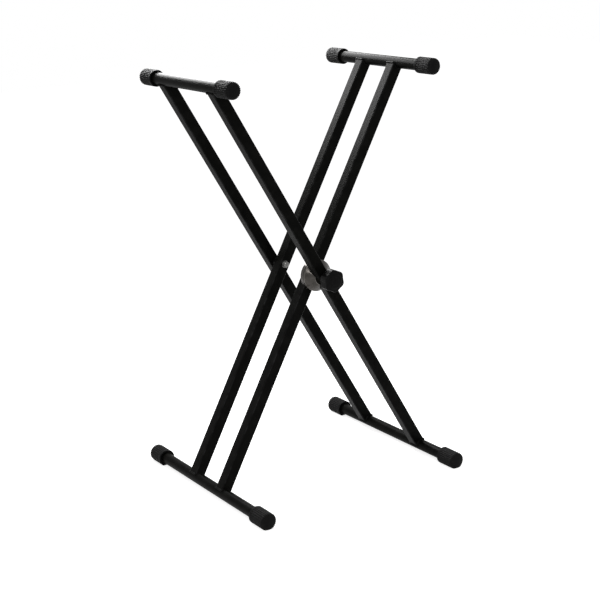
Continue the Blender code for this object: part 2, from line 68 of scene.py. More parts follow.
# The view direction from yaw and pitch, and two axes across it turned by the roll
def makeCamera(setup):
    yaw, pitch, roll = setup["yaw"], setup["pitch"], setup["roll"]
    ahead = np.array([math.sin(yaw) * math.cos(pitch), math.cos(yaw) * math.cos(pitch), -math.sin(pitch)])
    level = np.array([math.cos(yaw), -math.sin(yaw), 0.0])
    upright = np.cross(level, ahead)
    right = level * math.cos(roll) + upright * math.sin(roll)
    up = upright * math.cos(roll) - level * math.sin(roll)
    lens = bpy.data.cameras.new("photoCamera")
    lens.lens = setup["lens"]
    lens.sensor_width = setup["sensor"]
    camera = bpy.data.objects.new("photoCamera", lens)
    columns = np.stack([right, up, -ahead, np.array(setup["place"])], axis=1)
    camera.matrix_world = Matrix([*columns.tolist(), [0.0, 0.0, 0.0, 1.0]])
    scene.collection.objects.link(camera)
    scene.camera = camera


makeCamera(photoView)
print("camera set")


# Places read from the frame

def middleOf(node):
    low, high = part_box(node)
    return np.array((low + high) / 2)


def sizeOf(node):
    low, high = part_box(node)
    return np.array(high - low)


foldJoint = next(joint for joint in frame["joints"] if joint["name"] == "fold")
pivot = np.array(foldJoint["pos_m"])
worldY = np.array([0.0, 1.0, 0.0])
nearAxes = np.array([[1, 0, 0], [0, 0, 1], [0, -1, 0]], float)  # a turned piece's own z towards -Y
farAxes = np.array([[-1, 0, 0], [0, 0, 1], [0, 1, 0]], float)


# One leaning frame's own axes: across, along Y, and up its legs
def frameAxes(label):
    rise = middleOf(label + "_top_bar") - middleOf(label + "_foot_bar")
    up = rise / np.linalg.norm(rise)
    return np.array([np.cross(worldY, up), worldY, up])


# A frame's axes with the piece's own z turned towards -Y
def leaningNear(label):
    across, along, up = frameAxes(label)
    return np.array([across, up, -along])


# The same with its z turned towards +Y
def leaningFar(label):
    across, along, up = frameAxes(label)
    return np.array([-across, up, along])


# Points as sums of the axes by their coordinates, moved to the origin given
def placed(points, origin, axes):
    return points @ axes + np.asarray(origin, float)


# Surfaces: rows x columns x 3 arrays whose columns close round

# Quads between neighbouring rows; the ends close to a pole, or the last row joins the first
def gridFaces(rows, columns, loop):
    index = np.arange(rows * columns).reshape(rows, columns)
    below = index if loop else index[:-1]
    above = np.roll(index, -1, axis=0) if loop else index[1:]
    quads = np.stack([below, np.roll(below, -1, 1), np.roll(above, -1, 1), above], -1).reshape(-1, 4)
    faces = quads.tolist()
    if not loop:
        lowPole = rows * columns
        lowRing, highRing = index[0], index[-1]
        low = np.stack([np.full(columns, lowPole), np.roll(lowRing, -1), lowRing], -1)
        high = np.stack([np.full(columns, lowPole + 1), highRing, np.roll(highRing, -1)], -1)
        faces += low.tolist() + high.tolist()
    return faces


# Six times the volume that the faces close, by triangles fanned from each face's first corner
def signedVolume(points, faces):
    triangles = [(f[0], f[k], f[k + 1]) for f in faces for k in range(1, len(f) - 1)]
    a, b, c = (points[np.array(triangles)[:, k]] for k in range(3))
    return float(np.einsum("ij,ij->", a, np.cross(b, c)))


# A surface's points, with a pole at each open end, and its faces wound to point outwards
def closedSurface(rings, loop):
    points = rings.reshape(-1, 3)
    if not loop:
        points = np.concatenate([points, [rings[0].mean(0), rings[-1].mean(0)]])
    faces = gridFaces(*rings.shape[:2], loop)
    if signedVolume(points - points.mean(0), faces) < 0:
        faces = [face[::-1] for face in faces]
    return points, faces


# One mesh from closed surfaces, with each point's wear as an attribute
def addPiece(name, surfaces, material, body, replaced=(), sharp=32.0):
    points, faces, wear = [], [], []
    count = 0
    for surface in surfaces:
        rings, loop = surface["rings"], surface.get("loop", False)
        own, ownFaces = closedSurface(rings, loop)
        worn = np.broadcast_to(surface.get("wear", np.zeros((1, 1))), rings.shape[:2]).reshape(-1)
        if not loop:
            worn = np.concatenate([worn, [0.0, 0.0]])
        points.append(own)
        wear.append(worn)
        faces += [[corner + count for corner in face] for face in ownFaces]
        count += len(own)
    mesh = bpy.data.meshes.new(name)
    mesh.from_pydata(np.concatenate(points).tolist(), [], faces)
    mesh.attributes.new("wear", "FLOAT", "POINT").data.foreach_set("value", np.concatenate(wear))
    mesh.materials.append(material)
    mesh.shade_smooth()
    mesh.set_sharp_from_angle(angle=math.radians(sharp))
    piece = bpy.data.objects.new(name, mesh)
    scene.collection.objects.link(piece)
    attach(piece, body)
    if replaced:
        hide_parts(*replaced)
    return piece


# A line through (radius, height, rounding) corners, each rounded by a quadratic bend, with a value
# for each point that rises to 1 in the middle of a bend
def roundedLine(corners, bendSteps=5):
    corners = np.array(corners, float)
    line, bends = [], []
    for k, (radius, height, rounding) in enumerate(corners):
        point = np.array([radius, height])
        if rounding == 0 or k in (0, len(corners) - 1):
            line.append(point[None])
            bends.append([0.0])
            continue
        before, after = corners[k - 1, :2] - point, corners[k + 1, :2] - point
        start = point + before / np.linalg.norm(before) * rounding
        end = point + after / np.linalg.norm(after) * rounding
        t = np.linspace(0, 1, bendSteps + 1)[:, None]
        line.append((1 - t) ** 2 * start + 2 * t * (1 - t) * point + t**2 * end)
        bends.append(np.sin(np.linspace(0, math.pi, bendSteps + 1)))
    return np.concatenate(line), np.concatenate(bends)


# The same for a closed line, its last corner next to its first
def roundedLoop(corners, bendSteps=5):
    line, bends = roundedLine([corners[-1], *corners, corners[0]], bendSteps)
    return line[1:-1], bends[1:-1]


# A line carried round its own z: each point's radius on a circle of even steps
def turned(line, steps, phase=0.0):
    angle = phase + np.arange(steps) * turn / steps
    radius, height = line[:, 0, None], line[:, 1, None]
    flat = np.ones(steps)
    return np.stack([radius * np.cos(angle), radius * np.sin(angle), height * flat], -1)


# An outline carried straight from one height to another
def prism(outline, bottom, roof):
    return np.stack([np.insert(outline, 2, height, axis=1) for height in (bottom, roof)])


# Evenly spaced points along a polyline that closes on itself
def evenLoop(points, count):
    closed = np.concatenate([points, points[:1]])
    reach = np.concatenate([[0.0], np.cumsum(np.linalg.norm(np.diff(closed, axis=0), axis=1))])
    even = np.arange(count) / count * reach[-1]
    return np.stack([np.interp(even, reach, closed[:, k]) for k in range(closed.shape[1])], -1)


# A round section carried along a closed path, its radius given for each point
def tubeRound(path, radius, sectionSteps):
    tangent = np.roll(path, -1, 0) - np.roll(path, 1, 0)
    tangent /= np.linalg.norm(tangent, axis=1)[:, None]
    outward = path - path.mean(0)
    side = np.cross(tangent, outward)
    side /= np.linalg.norm(side, axis=1)[:, None]
    lift = np.cross(side, tangent)
    angle = np.arange(sectionSteps) * turn / sectionSteps
    cosine, sine = np.cos(angle)[None, :, None], np.sin(angle)[None, :, None]
    offset = side[:, None] * cosine + lift[:, None] * sine
    return path[:, None] + offset * radius[:, None, None]


# The shape of one piece less another, both closed; the cutter is removed again
def cutAway(piece, rings):
    points, faces = closedSurface(rings, False)
    cutterMesh = bpy.data.meshes.new("cutter")
    cutterMesh.from_pydata(points.tolist(), [], faces)
    cutter = bpy.data.objects.new("cutter", cutterMesh)
    scene.collection.objects.link(cutter)
    boolean = piece.modifiers.new("cut", "BOOLEAN")
    boolean.operation = "DIFFERENCE"
    boolean.solver = "EXACT"
    boolean.object = cutter
    bpy.context.view_layer.update()
    graph = bpy.context.evaluated_depsgraph_get()
    cut = bpy.data.meshes.new_from_object(piece.evaluated_get(graph))
    old = piece.data
    piece.modifiers.clear()
    piece.data = cut
    bpy.data.meshes.remove(old)
    bpy.data.objects.remove(cutter)
    bpy.data.meshes.remove(cutterMesh)
    cut.name = piece.name


# Materials

def newMaterial(name):
    material = bpy.data.materials.new(name)
    material.use_nodes = True
    return material, material.node_tree, material.node_tree.nodes["Principled BSDF"]


def addNode(tree, kind, settings=None, inputs=None):
    node = tree.nodes.new(kind)
    for key, value in (settings or {}).items():
        setattr(node, key, value)
    for key, value in (inputs or {}).items():
        node.inputs[key].default_value = value
    return node


# Noise on the piece's own metres: scale is in cells to a metre
def addNoise(tree, scale, detail=3.0, roughness=0.55, stretch=None):
    coords = addNode(tree, "ShaderNodeTexCoord")
    source = coords.outputs["Object"]
    if stretch:
        mapping = addNode(tree, "ShaderNodeMapping", inputs={"Scale": stretch})
        tree.links.new(source, mapping.inputs["Vector"])
        source = mapping.outputs["Vector"]
    noise = addNode(
        tree, "ShaderNodeTexNoise", inputs={"Scale": scale, "Detail": detail, "Roughness": roughness}
    )
    tree.links.new(source, noise.inputs["Vector"])
    return noise.outputs["Fac"]


# A value stretched from one span to another and held within it
def addRange(tree, source, low, high, newLow, newHigh):
    node = addNode(
        tree,
        "ShaderNodeMapRange",
        inputs={"From Min": low, "From Max": high, "To Min": newLow, "To Max": newHigh},
    )
    tree.links.new(source, node.inputs["Value"])
    return node.outputs["Result"]


# Two values joined by an operation, the result held from 0 to 1
def addMath(tree, operation, first, second):
    node = addNode(tree, "ShaderNodeMath", {"operation": operation, "use_clamp": True})
    for socket, value in zip(node.inputs, (first, second)):
        if isinstance(value, (int, float)):
            socket.default_value = value
        else:
            tree.links.new(value, socket)
    return node.outputs["Value"]


def addBlend(tree, factor, first, second):
    node = addNode(tree, "ShaderNodeMix", {"data_type": "RGBA"})
    tree.links.new(factor, node.inputs["Factor"])
    colourInputs = [socket for socket in node.inputs if socket.type == "RGBA"]
    for socket, value in zip(colourInputs, (first, second)):
        if isinstance(value, tuple):
            socket.default_value = (*value, 1.0)
        else:
            tree.links.new(value, socket)
    return next(socket for socket in node.outputs if socket.type == "RGBA")


# The wear that addPiece stored at each point
def addWear(tree):
    node = addNode(tree, "ShaderNodeAttribute", {"attribute_name": "wear"})
    return node.outputs["Fac"]


# Bumps one on another, from (height, strength, depth in metres)
def addBump(tree, shader, heights):
    previous = None
    for source, strength, depth in heights:
        bump = addNode(tree, "ShaderNodeBump", inputs={"Strength": strength, "Distance": depth})
        tree.links.new(source, bump.inputs["Height"])
        if previous:
            tree.links.new(previous, bump.inputs["Normal"])
        previous = bump.outputs["Normal"]
    tree.links.new(previous, shader.inputs["Normal"])


# Base colours and specular levels are tuned to the photograph in this studio's light. They are darker
# than real paint, rubber, plastic and zinc, so under other lights the stand looks too black.
coatLook = {
    "colour": (0.0028, 0.0028, 0.0025),
    "dusty": (0.0055, 0.0054, 0.0048),
    "worn": (0.020, 0.020, 0.0205),
    "roughness": (0.31, 0.36),
    "grainRoughness": 0.06,
    "rubShine": 0.06,
    "specular": 0.018,
    "broadScale": 9.0,
    "cloudScale": 55.0,
    "peelScale": 850.0,
    "grainScale": 3200.0,
    "peel": 0.12,
    "grain": 0.10,
}


# Satin powder coat: orange peel over fine grain, faint dust, edges rubbed a little brighter
def makePowderCoat(look):
    material, tree, shader = newMaterial("blackPowderCoat")
    broad = addNoise(tree, look["broadScale"], 4.0)
    cloudy = addNoise(tree, look["cloudScale"], 4.0)
    peel = addNoise(tree, look["peelScale"], 2.0)
    grain = addNoise(tree, look["grainScale"], 2.0)
    dust = addRange(tree, cloudy, 0.42, 0.75, 0.0, 1.0)
    dusty = addBlend(tree, dust, look["colour"], look["dusty"])
    rubbed = addMath(tree, "MULTIPLY", addWear(tree), addRange(tree, cloudy, 0.45, 0.7, 0.15, 1.0))
    tree.links.new(addBlend(tree, rubbed, dusty, look["worn"]), shader.inputs["Base Color"])
    rough = addRange(tree, broad, 0.3, 0.7, *look["roughness"])
    speckled = addMath(tree, "ADD", rough, addRange(tree, grain, 0.3, 0.7, 0.0, look["grainRoughness"]))
    shine = addRange(tree, rubbed, 0, 1, 0, look["rubShine"])
    tree.links.new(addMath(tree, "SUBTRACT", speckled, shine), shader.inputs["Roughness"])
    shader.inputs["Specular IOR Level"].default_value = look["specular"]
    addBump(tree, shader, [(peel, look["peel"], 0.00012), (grain, look["grain"], 0.00003)])
    return material


rubberLook = {
    "colour": (0.0042, 0.0042, 0.0044),
    "faded": (0.0068, 0.0067, 0.0066),
    "dusty": (0.0125, 0.0122, 0.0116),
    "roughness": (0.52, 0.68),
    "rubShine": 0.12,
    "specular": 0.045,
    "cloudScale": 120.0,
    "grainScale": 1600.0,
    "grain": 0.2,
}


# Moulded rubber: matte grain, dust where wear is below 0, in the grooves, rib tops rubbed smooth
def makeRubber(look):
    material, tree, shader = newMaterial("blackCapRubber")
    cloudy = addNoise(tree, look["cloudScale"], 4.0)
    grain = addNoise(tree, look["grainScale"], 3.0)
    wear = addWear(tree)
    hollow = addMath(tree, "MULTIPLY", wear, -1.0)
    faded = addBlend(tree, addRange(tree, cloudy, 0.35, 0.7, 0.0, 1.0), look["colour"], look["faded"])
    dust = addMath(tree, "MULTIPLY", hollow, addRange(tree, cloudy, 0.4, 0.65, 0.1, 0.8))
    tree.links.new(addBlend(tree, dust, faded, look["dusty"]), shader.inputs["Base Color"])
    rough = addRange(tree, cloudy, 0.3, 0.7, *look["roughness"])
    rubbed = addMath(tree, "MULTIPLY", wear, look["rubShine"])
    tree.links.new(addMath(tree, "SUBTRACT", rough, rubbed), shader.inputs["Roughness"])
    shader.inputs["Specular IOR Level"].default_value = look["specular"]
    addBump(tree, shader, [(grain, look["grain"], 0.00006)])
    return material


zincLook = {
    "colour": (0.055, 0.050, 0.046),
    "dull": (0.036, 0.033, 0.030),
    "bright": (0.21, 0.20, 0.185),
    "metallic": 0.85,
    "roughness": (0.20, 0.32),
    "rubShine": 0.15,
    "flowScale": 90.0,
    "skinScale": 700.0,
}


# Bare die-cast zinc: grey skin with flow marks in two tones, bright where edges rub
def makeCastZinc(look):
    material, tree, shader = newMaterial("castZinc")
    flow = addNoise(tree, look["flowScale"], 4.0)
    skin = addNoise(tree, look["skinScale"], 4.0)
    wear = addWear(tree)
    base = addBlend(tree, addRange(tree, flow, 0.35, 0.68, 0.0, 1.0), look["dull"], look["colour"])
    bright = addMath(tree, "MULTIPLY", wear, addRange(tree, skin, 0.35, 0.6, 0.3, 1.0))
    tree.links.new(addBlend(tree, bright, base, look["bright"]), shader.inputs["Base Color"])
    rough = addRange(tree, skin, 0.3, 0.7, *look["roughness"])
    shine = addMath(tree, "MULTIPLY", bright, look["rubShine"])
    tree.links.new(addMath(tree, "SUBTRACT", rough, shine), shader.inputs["Roughness"])
    shader.inputs["Metallic"].default_value = look["metallic"]
    addBump(tree, shader, [(skin, 0.4, 0.00008), (flow, 0.25, 0.0002)])
    return material


plasticLook = {
    "colour": (0.0022, 0.0022, 0.0022),
    "scuffed": (0.0065, 0.0065, 0.0066),
    "roughness": (0.40, 0.52),
    "rubShine": 0.12,
    "specular": 0.05,
    "cloudScale": 160.0,
    "grainScale": 2100.0,
}


# Knob plastic: fine spark-eroded grain, corners handled to a slight shine
def makeKnobPlastic(look):
    material, tree, shader = newMaterial("blackKnobPlastic")
    cloudy = addNoise(tree, look["cloudScale"], 3.0)
    grain = addNoise(tree, look["grainScale"], 2.0)
    wear = addWear(tree)
    scuffed = addMath(tree, "MULTIPLY", wear, addRange(tree, cloudy, 0.4, 0.65, 0.2, 1.0))
    tree.links.new(addBlend(tree, scuffed, look["colour"], look["scuffed"]), shader.inputs["Base Color"])
    rough = addRange(tree, cloudy, 0.3, 0.7, *look["roughness"])
    shine = addMath(tree, "MULTIPLY", wear, look["rubShine"])
    tree.links.new(addMath(tree, "SUBTRACT", rough, shine), shader.inputs["Roughness"])
    shader.inputs["Specular IOR Level"].default_value = look["specular"]
    addBump(tree, shader, [(grain, 0.25, 0.00004)])
    return material


metalLook = {
    "cloudScale": 260.0,
    "lineScale": (300.0, 5200.0, 300.0),
    "edgeLift": 1.15,
    "tarnishRoughness": 0.12,
}


# Plated or turned metal: lines round Y as a noise squeezed along Y, tarnish in soft clouds
def makeBareMetal(name, colour, tarnished, roughness):
    material, tree, shader = newMaterial(name)
    cloudy = addNoise(tree, metalLook["cloudScale"], 4.0)
    lines = addNoise(tree, 1.0, 3.0, stretch=metalLook["lineScale"])
    wear = addWear(tree)
    tarnish = addRange(tree, cloudy, 0.45, 0.75, 0.0, 1.0)
    base = addBlend(tree, tarnish, colour, tarnished)
    lit = tuple(min(1.0, part * metalLook["edgeLift"]) for part in colour)
    rubbed = addRange(tree, wear, 0, 1, 0, 0.8)
    tree.links.new(addBlend(tree, rubbed, base, lit), shader.inputs["Base Color"])
    rough = addRange(tree, cloudy, 0.3, 0.7, roughness, roughness + metalLook["tarnishRoughness"])
    tree.links.new(rough, shader.inputs["Roughness"])
    shader.inputs["Metallic"].default_value = 1.0
    addBump(tree, shader, [(lines, 0.15, 0.00003)])
    return material


powderCoat = makePowderCoat(coatLook)
capRubber = makeRubber(rubberLook)
castZinc = makeCastZinc(zincLook)
knobPlastic = makeKnobPlastic(plasticLook)
zincPlate = makeBareMetal("zincPlatedSteel", (0.17, 0.17, 0.165), (0.11, 0.105, 0.10), 0.42)
springSteel = makeBareMetal("springSteel", (0.38, 0.38, 0.39), (0.26, 0.25, 0.24), 0.30)
insertBrass = makeBareMetal("turnedBrass", (0.62, 0.45, 0.18), (0.42, 0.29, 0.12), 0.30)
print("materials made")


# Tubes

tubeShape = {
    "legCorner": 2.5 * mm,
    "legWall": 1.5 * mm,
    "earStop": 6.0 * mm,  # the legs' ears stop this far from the bar's axis
    "rowsAlong": 24,
    "sideSteps": 16,
    "cornerSteps": 8,
    "barSteps": 72,
    "boltHole": 4.3 * mm,
    "holeSteps": 48,
    "copeGap": 0.3 * mm,  # between a leg's end and the bar
}
beadShape = {
    "radius": 2.1 * mm,
    "ripplePitch": 2.3 * mm,
    "rippleShare": 0.09,
    "drift": 0.05,
    "driftWaves": (3, 5, 8),
    "rippleWear": 4,
    "points": 216,
    "sectionSteps": 12,
}


# A square's sides as straight runs and its corners as quarter circles, with a value for each point
# that rises to 1 in the middle of a corner and is 0 along the sides
def squareOutline(width, corner):
    half = width / 2 - corner
    quarter = np.linspace(0, math.pi / 2, tubeShape["cornerSteps"] + 1)
    run = np.linspace(0, 1, tubeShape["sideSteps"] + 1)[1:-1]
    parts, bends = [], []
    corners = [(half, half), (-half, half), (-half, -half), (half, -half)]
    for k, (x, y) in enumerate(corners):
        angle = quarter + k * math.pi / 2
        arc = np.stack([x + corner * np.cos(angle), y + corner * np.sin(angle)], -1)
        following = np.array(corners[(k + 1) % 4])
        edge = following + corner * np.array([math.cos(angle[-1]), math.sin(angle[-1])])
        parts += [arc, arc[-1] + (edge - arc[-1]) * run[:, None]]
        bends += [np.sin(2 * quarter), np.zeros(len(run))]
    return np.concatenate(parts), np.concatenate(bends)


# How far a leg's end stays from the bar's axis: a circle's arc, cut off level at the ears
def mouthReach(across, barRadius):
    arc = np.sqrt(np.clip(barRadius**2 - across**2, 0, None))
    return np.maximum(arc, tubeShape["earStop"])


# A square tube between two bars, coped round both, with its inside wall
def makeLeg(label, side):
    node = f"{label}_leg_{side}"
    foot, top = middleOf(label + "_foot_bar"), middleOf(label + "_top_bar")
    barRadius = sizeOf(label + "_top_bar")[0] / 2 + tubeShape["copeGap"]
    length = np.linalg.norm(top - foot)
    width = sizeOf(node)[1]
    place = np.array([foot[0], middleOf(node)[1], foot[2]])
    share = np.linspace(0, 1, tubeShape["rowsAlong"])[:, None]
    walls = []
    for inset in (0.0, tubeShape["legWall"]):
        outline, bend = squareOutline(width - 2 * inset, tubeShape["legCorner"] - inset)
        reach = mouthReach(outline[:, 0], barRadius)
        height = (1 - share) * reach + share * (length - reach)
        flat = np.broadcast_to(outline, (len(share), *outline.shape))
        walls.append(np.concatenate([flat, height[..., None]], -1))
    rings = np.concatenate([walls[0], walls[1][::-1]])
    wear = np.concatenate([np.tile(bend, (len(share), 1)), np.zeros((len(share), len(bend)))])
    surface = {"rings": placed(rings, place, frameAxes(label)), "wear": wear, "loop": True}
    leg = addPiece(node + "_tube", [surface], powderCoat, label + "_frame", [node])
    hole = [(tubeShape["boltHole"], -width), (tubeShape["boltHole"], width)]
    atBolt = (pivot[0], place[1], pivot[2])
    cutAway(leg, placed(turned(np.array(hole), tubeShape["holeSteps"]), atBolt, nearAxes))


# A bead round a leg's end: the leg's outline laid on the bar, its thickness rippled
def makeBead(label, side, end, seed):
    foot, top = middleOf(label + "_foot_bar"), middleOf(label + "_top_bar")
    barRadius = sizeOf(label + "_top_bar")[0] / 2
    node = f"{label}_leg_{side}"
    outline, _ = squareOutline(sizeOf(node)[1], tubeShape["legCorner"])
    height = mouthReach(outline[:, 0], barRadius)
    path = evenLoop(np.concatenate([outline, height[:, None]], -1), beadShape["points"])
    length = np.linalg.norm(np.diff(np.concatenate([path, path[:1]]), axis=0), axis=1).sum()
    ripples = round(length / beadShape["ripplePitch"])
    step = np.arange(len(path)) / len(path)
    random = np.random.default_rng(seed)
    swing = beadShape["drift"]
    drift = sum(
        random.uniform(-swing, swing) * np.cos(turn * (wave * step + random.random()))
        for wave in beadShape["driftWaves"]
    )
    ripple = beadShape["rippleShare"] * np.abs(np.sin(math.pi * ripples * step))
    radius = beadShape["radius"] * (1 + drift + ripple)
    if end == "top":
        path = path * [1, 1, -1]
    bar = top if end == "top" else foot
    place = np.array([bar[0], middleOf(node)[1], bar[2]])
    rings = placed(tubeRound(path, radius, beadShape["sectionSteps"]), place, frameAxes(label))
    wear = np.tile(ripple[:, None] * beadShape["rippleWear"], (1, beadShape["sectionSteps"]))
    return {"rings": rings, "wear": np.clip(wear, 0, 1), "loop": True}


# A round tube along Y, open at both ends with its bore
def makeBar(label, end):
    node = f"{label}_{end}_bar"
    size = sizeOf(node)
    radius, half = size[0] / 2, size[1] / 2
    bore = radius - tubeShape["legWall"]
    rows = np.linspace(-half, half, tubeShape["rowsAlong"])
    outer = np.stack([np.full(len(rows), radius), rows], -1)
    inner = np.stack([np.full(len(rows), bore), rows[::-1]], -1)
    rings = turned(np.concatenate([outer, inner]), tubeShape["barSteps"])
    surface = {"rings": placed(rings, middleOf(node), nearAxes), "loop": True}
    addPiece(node + "_tube", [surface], powderCoat, label + "_frame", [node])


seed = 1
for label in ("outer", "inner"):
    beads = []
    for side in ("near", "far"):
        makeLeg(label, side)
        for end in ("top", "foot"):
            beads.append(makeBead(label, side, end, seed))
            seed += 1
    for end in ("top", "foot"):
        makeBar(label, end)
    addPiece(label + "_weld_beads", beads, powderCoat, label + "_frame")
print("tubes and welds made")


# End caps

capShape = {
    "ribs": 28,
    "columnsToRib": 10,
    "ribDepth": 1.0 * mm,
    "landSharpness": 2.4,  # a small value is nearly a plain wave, a large one nearly square
    "band": 6.0 * mm,
    "runIn": 1.2 * mm,
    "endRound": 6.0 * mm,
    "endWide": 8.5 * mm,
    "ribsFade": math.radians(82.0),  # round the end's bend, where the ribs have run out
    "fadeTurn": math.radians(30.0),
    "crown": 1.2 * mm,
    "lip": 0.8 * mm,
    "wall": 1.6 * mm,
    "recess": 3.0 * mm,
    "bore": 12.8 * mm,
    "endWall": 4.0 * mm,
    "soleDrop": 16.0 * mm,
    "soleWall": 1.4 * mm,
    "mouthSteps": 5,
    "runInRows": 5,
    "ribRows": 10,
    "bendRows": 13,
    "crownRows": 7,
}


# A cap's radius at each height, less ribs: a squared-off cosine round it, from the band to the end's bend.
# A flat sole is every point raised to the sole's height, the inside a wall's thickness above it.
def makeCap(node, body, side, hasSole):
    low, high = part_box(node)
    size = sizeOf(node)
    length, radius = size[1], size[0] / 2
    bar = middleOf(node.replace("_cap_" + side, "_bar"))
    mouth = low[1] if side == "far" else high[1]
    axes = farAxes if side == "far" else nearAxes
    shape = capShape
    corners = [
        (shape["bore"], length - shape["endWall"], 0.0),
        (shape["bore"], shape["recess"], 0.3 * mm),
        (radius - shape["wall"], shape["recess"], 0.5 * mm),
        (radius - shape["wall"], 0.0, 0.5 * mm),
        (radius, 0.0, shape["lip"]),
        (radius, shape["band"], 0.0),
    ]
    mouthLine, mouthBend = roundedLine(corners, shape["mouthSteps"])
    ribStart = shape["band"] + shape["runIn"]
    ribEnd = length - shape["crown"] - shape["endRound"]
    runIn = np.linspace(shape["band"], ribStart, shape["runInRows"])[1:]
    ribRows = np.concatenate([runIn, np.linspace(ribStart, ribEnd, shape["ribRows"])[1:]])
    ribLine = np.stack([np.full(len(ribRows), radius), ribRows], -1)
    bend = np.linspace(0, math.pi / 2, shape["bendRows"])[1:]
    domeRadius = radius - shape["endWide"] + shape["endWide"] * np.cos(bend)
    domeLine = np.stack([domeRadius, ribEnd + shape["endRound"] * np.sin(bend)], -1)
    inwards = np.linspace(1, 0, shape["crownRows"])[1:-1, None]
    rim = domeLine[-1]
    crownLine = np.concatenate([rim[:1] * inwards, rim[1] + shape["crown"] * (1 - inwards**2)], -1)
    line = np.concatenate([mouthLine, ribLine, domeLine, crownLine])
    columns = shape["ribs"] * shape["columnsToRib"]
    rings = turned(line, columns)
    angle = np.arange(columns) * turn / columns
    sharpness = shape["landSharpness"]
    squared = np.tanh(sharpness * np.cos(shape["ribs"] * angle)) / math.tanh(sharpness)
    groove = 0.5 - 0.5 * squared
    fade = np.zeros(len(line))
    first, last = len(mouthLine), len(mouthLine) + len(ribRows)
    fade[first:last] = np.clip((ribRows - shape["band"]) / shape["runIn"], 0, 1)
    fade[last : last + len(bend)] = np.clip((shape["ribsFade"] - bend) / shape["fadeTurn"], 0, 1)
    depth = shape["ribDepth"] * fade[:, None] * groove
    flat = np.linalg.norm(rings[..., :2], axis=-1)
    rings[..., :2] *= ((flat - depth) / flat)[..., None]
    wear = fade[:, None] * (0.5 - 1.4 * groove)
    wear[: len(mouthLine)] += mouthBend[:, None] * 0.8
    if hasSole:
        insideRows = 1 + 2 * (shape["mouthSteps"] + 1)  # the bore's end and the recess's two bends
        inside = np.zeros(len(line))
        inside[:insideRows] = shape["soleWall"]
        rings[..., 1] = np.maximum(rings[..., 1], inside[:, None] - shape["soleDrop"])
    surface = {"rings": placed(rings, (bar[0], mouth, bar[2]), axes), "wear": wear}
    addPiece(node + "_ribbed", [surface], capRubber, body, [node], 40.0)


for label in ("outer", "inner"):
    for side in ("near", "far"):
        makeCap(f"{label}_top_cap_{side}", label + "_frame", side, False)
        makeCap(f"{label}_foot_cap_{side}", f"{label}_{side}_foot", side, True)
print("caps made")


# Clutch

clutchShape = {
    "teeth": 36,
    "toothDepth": 2.0 * mm,
    "land": 0.12,
    "columnsToTooth": 8,
    "ringWidth": 12.5 * mm,
    "ringStep": 2.8 * mm,
    "pocketRadius": 9.2 * mm,
    "pocketDepth": 5.0 * mm,
    "bore": 4.3 * mm,
    "earRadius": 17.5 * mm,  # at the half's back
    "outerRim": 4.2 * mm,
    "innerRim": 10.0 * mm,
    "channelGap": 0.3 * mm,  # between the leg and its channel, on the seat and at each side
    "channelCorner": 0.4 * mm,
    "crest": 0.5 * mm,  # the depth of ring face that the tooth wave lowers
    "cutBeyond": 2.0 * mm,
}


# A turned blank whose ring face is lowered by a flat-topped triangle wave, more towards its rim,
# less a channel for the leg
def makeClutchHalf(label, rim, phase):
    node = f"clutch_{label}_half"
    low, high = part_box(node)
    shape = clutchShape
    radius = sizeOf(node)[0] / 2
    legs = middleOf(label + "_leg_near")
    legHalf = sizeOf(label + "_leg_near")[1] / 2
    towardsNear = label == "inner"  # the way the toothed face looks
    back = high[1] if towardsNear else low[1]
    face = low[1] if towardsNear else high[1]
    seat = legs[1] + (-1 if towardsNear else 1) * (legHalf + shape["channelGap"])
    axes = leaningNear(label) if towardsNear else leaningFar(label)
    top = abs(face - seat)
    depth = abs(back - seat)
    ringInner = radius - shape["ringWidth"]
    middle = top - shape["ringStep"]
    corners = [
        (ringInner, top, 0.3 * mm),
        (radius, top, 0.4 * mm),
        (radius, top - rim, 0.6 * mm),
        (shape["earRadius"], -depth, 0.8 * mm),
        (shape["bore"], -depth, 0.3 * mm),
        (shape["bore"], middle - shape["pocketDepth"], 0.2 * mm),
        (shape["pocketRadius"], middle - shape["pocketDepth"], 0.4 * mm),
        (shape["pocketRadius"], middle, 0.4 * mm),
        (ringInner, middle, 0.5 * mm),
    ]
    line, bends = roundedLoop(corners)
    columns = shape["teeth"] * shape["columnsToTooth"]
    rings = turned(line, columns, phase)
    wave = np.abs(((np.arange(columns) / shape["columnsToTooth"] + 0.5) % 1) * 2 - 1)
    drop = np.clip((wave - shape["land"]) / (1 - shape["land"]), 0, 1)
    ringTop = np.clip((line[:, 1] - (top - shape["crest"])) / shape["crest"], 0, 1)[:, None]
    rings[..., 2] -= ringTop * shape["toothDepth"] * (line[:, :1] / radius) * drop
    wear = np.clip(bends[:, None] * 0.7 + ringTop * (0.8 - drop) * 0.9, 0, 1)
    surface = {"rings": placed(rings, (pivot[0], seat, pivot[2]), axes), "wear": wear, "loop": True}
    half = addPiece(node + "_casting", [surface], castZinc, label + "_frame", [node], 28.0)
    cutWidth = legHalf + shape["channelGap"]
    outline, _ = squareOutline(2 * cutWidth, shape["channelCorner"])
    outline = outline * [1.0, (radius + shape["cutBeyond"]) / cutWidth]
    channel = prism(outline, -depth - shape["cutBeyond"], 0.0)
    across = frameAxes(label)[0]
    legPlane = (middleOf(label + "_foot_bar") - pivot) @ across * across
    cutAway(half, placed(channel, np.array([pivot[0], seat, pivot[2]]) + legPlane, axes))


toothPitch = turn / clutchShape["teeth"]
restAngle = math.acos(float(frameAxes("outer")[2] @ frameAxes("inner")[2]))
makeClutchHalf("inner", clutchShape["innerRim"], toothPitch / 2)
makeClutchHalf("outer", clutchShape["outerRim"], restAngle)
print("clutch made")


# Knob

